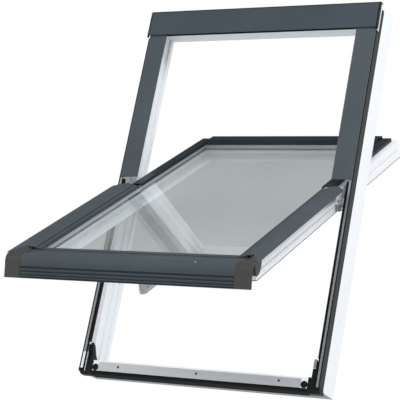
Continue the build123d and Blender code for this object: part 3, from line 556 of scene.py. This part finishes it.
def saddle_ring(side, along):
    """One cross-section of the saddle, from the cover's cut end down to the skin."""
    skin = cap_surface(along)
    outer = saddle_edge - cut_slope * (along - saddle_start)
    reach = min(saddle_width, outer - saddle_inner)
    ring = []
    for place in range(saddle_points + 1):
        share = place / saddle_points
        rise = (saddle_crest - skin) * (1.0 - share) ** saddle_curve
        ring.append(on_sash(side * (outer - reach * share), along, skin + rise + skin_proud))
    ring.append(on_sash(side * (outer - reach), along, skin - skin_sunk))
    ring.append(on_sash(side * outer, along, skin - skin_sunk))
    return ring


def sash_rings(side, sections):
    """Rings of places on the sash, on that side, from sections of places on the right."""
    return [
        [on_sash(side * across, along, out) for across, along, out in section]
        for section in sections
    ]


for side, word in sides:
    length = saddle_high - saddle_low
    rows = [
        saddle_ring(side, saddle_low + length * step / saddle_steps)
        for step in range(saddle_steps + 1)
    ]
    add_piece("cap_corner_" + word, rows, "brown_plastic", "sash")

    sections = [
        (
            (354.1, along, low),
            (355.1, along, low + 1.0),
            (355.5, along, low + (high - low) * 0.3),
            (355.5, along, low + (high - low) * 0.8),
            (354.9, along, high),
            (354.1, along, high),
        )
        for along, low, high in cheek
    ]
    add_piece("cap_cheek_" + word, sash_rings(side, sections), "brown_plastic", "sash")

    sections = [
        (
            (across, 43.9, low),
            (across, 42.7, low + 0.6),
            (across, 42.7, high - 0.6),
            (across, 43.9, high),
        )
        for across, low, high in cap_foot
    ]
    add_piece("cap_foot_" + word, sash_rings(side, sections), "brown_plastic", "sash")

    sunk = cap_surface(57.0) - skin_sunk
    sections = [
        (
            (across, 56.6, sunk),
            (across, 56.9, top - 0.5),
            (across, 57.4, top),
            (across, 58.1, top - 0.2),
            (across, 58.2, sunk),
        )
        for across, top in ledge
    ]
    add_piece("cap_ledge_" + word, sash_rings(side, sections), "brown_plastic", "sash")


# Fittings at the frame's lower corners: the block on the fork's front prong, the fork's
# thick root, the foot of the gasket, and the corner of the black rim
def rounded_block(name, side, low, high, radius, look):
    """A block on that side of the frame, between two corners, its long edges rounded."""
    inner, outer = sorted((side * low[0], side * high[0]))
    corners = (
        (outer - radius, high[2] - radius, 0.0),
        (inner + radius, high[2] - radius, 90.0),
        (inner + radius, low[2] + radius, 180.0),
        (outer - radius, low[2] + radius, 270.0),
    )
    chamfer = radius * 0.5
    rows = []
    for along, inset in (
        (low[1], chamfer),
        (low[1] + chamfer, 0.0),
        (high[1] - chamfer, 0.0),
        (high[1], chamfer),
    ):
        reach = radius - inset
        ring = []
        for across, out, start in corners:
            for turned in (0.0, 30.0, 60.0, 90.0):
                angle = math.radians(start + turned)
                sideways, outward = reach * math.cos(angle), reach * math.sin(angle)
                ring.append(in_frame(across + sideways, along, out + outward))
        rows.append(ring)
    add_piece(name, rows, look, "window_frame")


# Each block's name, its two corners, the radius of its edges and its slot
corner_blocks = (
    ("fork_block_", (359.5, 62.4, 96.5), (368.9, 87.5, 102.0), 1.2, "black_plastic"),
    ("fork_root_", (357.0, 36.1, 92.0), (368.9, 62.0, 96.6), 1.2, "black_plastic"),
    ("gasket_foot_", (373.2, 0.6, 104.05), (379.1, 91.0, 104.7), 0.25, "black_rubber"),
    ("rim_corner_", (390.05, 0.4, 78.0), (391.3, 9.0, 107.4), 0.5, "black_plastic"),
)
block_looks = {"fork_block_right": "block_grey"}
for side, word in sides:
    for kind, low, high, radius, slot in corner_blocks:
        name = kind + word
        rounded_block(name, side, low, high, radius, block_looks.get(name, slot))

# Dark bead that closes the glass against the front cover
bead_half = 328.0
bead = (
    (58.3, 97.2),
    (58.3, 100.4),
    (60.0, 101.2),
    (66.0, 101.3),
    (72.0, 100.6),
    (76.5, 99.4),
    (77.6, 98.7),
    (66.5, 98.7),
    (65.6, 97.2),
)
rows = [
    [on_sash(bead_half * share, along, out) for along, out in bead]
    for share in (-1.0, -0.5, 0.0, 0.5, 1.0)
]
add_piece("glass_bead", rows, "cladding", "sash")


# Painted shade: thin dark strips standing in for the shade in each step of the lower covers,
# and between the front cover's ribs
def painted_shade_line(name, start, end, sideways, rise):
    """A thin dark strip of painted shade on the sash from start to end, that wide sideways and
    that proud.
    """
    rows = []
    for place in (start, end):
        first = on_sash(*place)
        second = on_sash(*(value + shift for value, shift in zip(place, sideways)))
        lift = on_sash(*(value + shift for value, shift in zip(place, rise))) - first
        rows.append([first - lift, second - lift, second + lift, first + lift])
    add_piece(name, rows, "strip_dark", "sash")


# Each step's foot, across and out, and its painted shade strip's width and fall
step_low = 59.5
step_high = 606.0
step_proud = (0.0, 0.0, 0.14)
cover_steps = (
    (324.7, 105.17, 3.0, 0.37),
    (311.2, 102.23, 2.6, 0.17),
    (305.4, 101.83, 3.2, 0.21),
)
for side, word in sides:
    for number, (across, out, width, fall) in enumerate(cover_steps):
        painted_shade_line(
            "cover_shade_line_" + word + "_" + str(number + 1),
            (side * across, step_low, out),
            (side * across, step_high, out),
            (-side * width, 0.0, -fall),
            step_proud,
        )

# The front cover's ribbed foot runs straight from under its nose down to its lower edge,
# and each painted shade strip lies between two shares of that way
foot_half = 328.6
foot_along, foot_out = -20.5, 86.0
foot_fall, foot_depth = -15.5, -34.0
foot_proud = (0.0, -0.14, 0.06)
rib_shade_lines = ((0.14, 0.27), (0.43, 0.55), (0.69, 0.8), (0.87, 0.99))
for number, (start, end) in enumerate(rib_shade_lines):
    along, out = foot_along + foot_fall * start, foot_out + foot_depth * start
    painted_shade_line(
        "rib_shade_line_" + str(number + 1),
        (-foot_half, along, out),
        (foot_half, along, out),
        (0.0, foot_fall * (end - start), foot_depth * (end - start)),
        foot_proud,
    )

# Small screw head, square to the front cover's nose, from rings of a radius at a height
screw_place = (211.0, -4.5, 108.4)
screw_lean = (0.82, 0.55)
screw_steps = 16
screw_rings = ((1.9, -0.6), (1.9, 0.3), (1.5, 0.8), (0.9, 1.1), (0.3, 1.2))
rows = []
for radius, rise in screw_rings:
    ring = []
    for step in range(screw_steps):
        angle = 2.0 * math.pi * step / screw_steps
        height = radius * math.sin(angle)
        ring.append(
            on_sash(
                screw_place[0] + radius * math.cos(angle),
                screw_place[1] + height * screw_lean[0] - rise * screw_lean[1],
                screw_place[2] + height * screw_lean[1] + rise * screw_lean[0],
            )
        )
    rows.append(ring)
add_piece("cover_screw", rows, "pale_metal", "sash")

# Floor
bpy.ops.mesh.primitive_plane_add(size=floor_size, location=(0.0, 0.0, floor_height))
floor = bpy.context.object
floor.name = "floor"
floor_look = surface("floor_pale", (0.8, 0.8, 0.8), drift=0.01, roughness=(0.7, 0.8))
floor.data.materials.append(floor_look)

# World: soft light on the object, and a white room round it
soft_colour = (0.92, 0.96, 1.0, 1.0)
soft_strength = 0.95
white = (1.0, 1.0, 1.0, 1.0)
overhead_grey = (0.15, 0.165, 0.175, 1.0)
overhead_start, overhead_full = 0.45, 0.6
behind_glass_grey = (0.55, 0.56, 0.565, 1.0)

world = bpy.data.worlds.new("studio")
bpy.context.scene.world = world
world.use_nodes = True
tree = world.node_tree
tree.nodes.clear()
rays = node_of(tree, "ShaderNodeLightPath", -500, 0).outputs
light = node_of(tree, "ShaderNodeBackground", 100, -150)
light.inputs["Color"].default_value = soft_colour
light.inputs["Strength"].default_value = soft_strength
room = node_of(tree, "ShaderNodeBackground", 100, 150)
room.inputs["Strength"].default_value = 1.0

# Overhead the room is dark, so glass seen at a low angle mirrors grey there
way = node_of(tree, "ShaderNodeTexCoord", -900, 400)
way_parts = parts_of(tree, way.outputs["Generated"], -700, 400)
overhead = spread(tree, way_parts["Z"], overhead_start, overhead_full, 0.0, 1.0, -500, 400)
overhead.interpolation_type = "SMOOTHSTEP"
mirrored = (overhead.outputs["Result"], rays["Is Glossy Ray"])
sky = blended(tree, worked(tree, "MULTIPLY", mirrored, -300, 400), -100, 400)
sky.inputs["A"].default_value = white
sky.inputs["B"].default_value = overhead_grey

# Through the panes the room is grey
behind = blended(tree, rays["Is Transmission Ray"], 0, 500)
behind.inputs["B"].default_value = behind_glass_grey
tree.links.new(sky.outputs["Result"], behind.inputs["A"])
tree.links.new(behind.outputs["Result"], room.inputs["Color"])

# The camera, mirror images and the panes show the room, and all else is lit softly
seen = worked(tree, "MAXIMUM", (rays["Is Camera Ray"], rays["Is Glossy Ray"]), -200, 100)
through = worked(tree, "MAXIMUM", (seen, rays["Is Transmission Ray"]), 0, 100)
mix = node_of(tree, "ShaderNodeMixShader", 400, 0)
tree.links.new(through, mix.inputs["Fac"])
tree.links.new(light.outputs["Background"], mix.inputs[1])
tree.links.new(room.outputs["Background"], mix.inputs[2])
output = node_of(tree, "ShaderNodeOutputWorld", 600, 0)
tree.links.new(mix.outputs["Shader"], output.inputs["Surface"])


# Lamps
def soft_light(name, place, aim, size, power):
    """A square soft light that points at aim."""
    lamp = bpy.data.lights.new(name, "AREA")
    lamp.size = size
    lamp.energy = power
    holder = bpy.data.objects.new(name, lamp)
    # The panes would mirror the lamp as a hard white patch
    holder.visible_glossy = False
    holder.visible_transmission = False
    bpy.context.scene.collection.objects.link(holder)
    holder.location = place
    toward = Vector(aim) - Vector(place)
    holder.rotation_mode = "QUATERNION"
    holder.rotation_quaternion = toward.to_track_quat("-Z", "Y")


middle = (0.0, -0.1, 0.55)
soft_light("key", place=(1.6, -2.3, 2.7), aim=middle, size=1.6, power=64.0)
soft_light("fill", place=(3.8, -1.2, 0.6), aim=middle, size=2.5, power=9.0)
